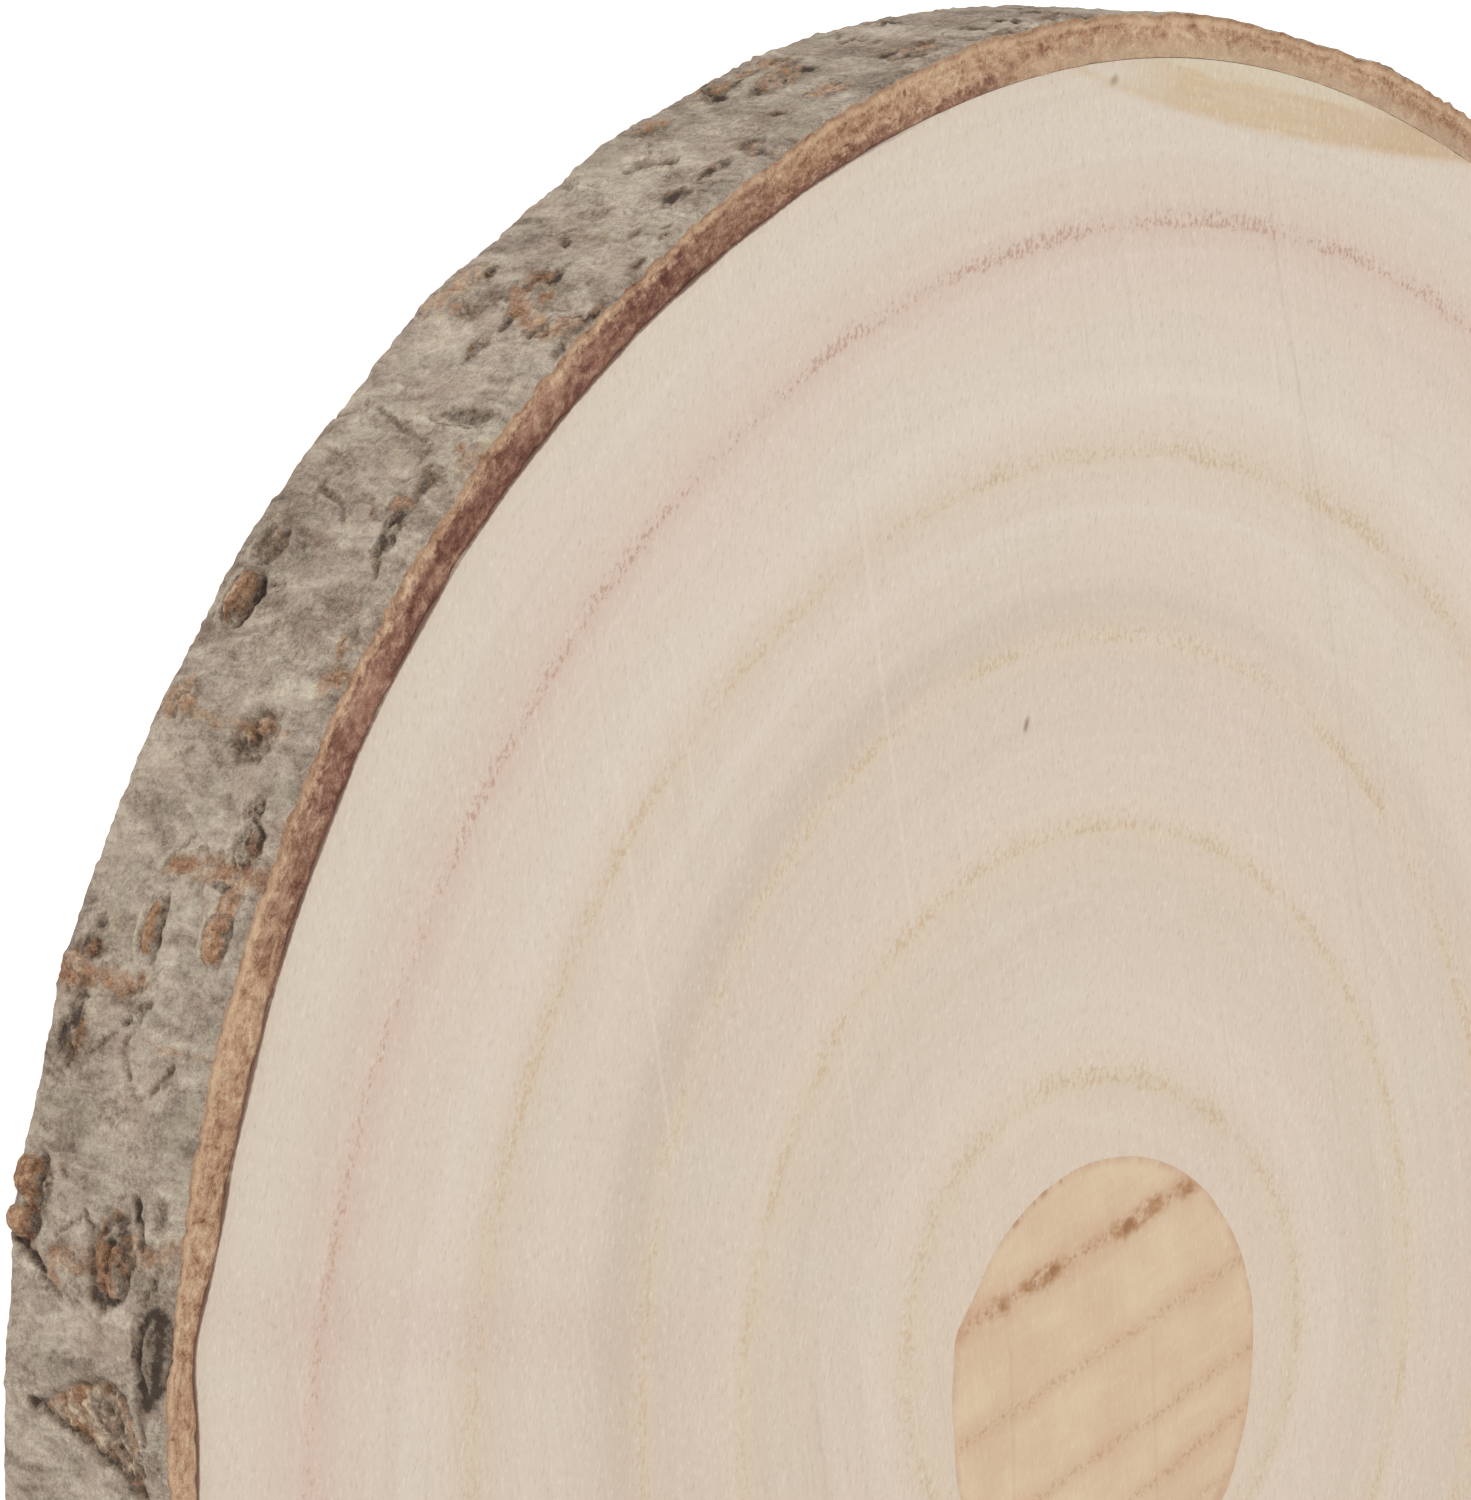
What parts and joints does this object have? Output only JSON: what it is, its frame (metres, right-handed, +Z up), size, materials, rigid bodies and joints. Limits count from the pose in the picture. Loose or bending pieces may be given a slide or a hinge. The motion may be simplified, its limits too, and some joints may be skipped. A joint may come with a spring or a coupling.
{
  "type": "wood slice",
  "caption": "Round sanded slice of a tree trunk with its bark left on and a round wooden plug filling the pith.",
  "frame": {"origin": "bottom centre of the bounding box: the middle of the slice's footprint, on its sawn underside", "axes": "+Z up along the trunk, out of the upper sanded face. The picture's viewer is on the -Y side, above, and the picture's left rim is the rim nearest -Y; the picture's top is towards -X. The plug stands a few millimetres from the middle, towards +X and -Y."},
  "size_m": [0.1996, 0.2006, 0.0168],
  "materials": {
    "wood": "sanded end grain, unvarnished, with growth rings and fine saw marks",
    "bark": "rough matt grey-brown bark with corky bumps; orange-brown where it is cut",
    "plug": "sanded flush, warmer straight-grained wood with brown lines"
  },
  "bodies": {
    "root": {"wood": "wood", "bark": "bark", "plug": "plug"}
  },
  "joints": []
}
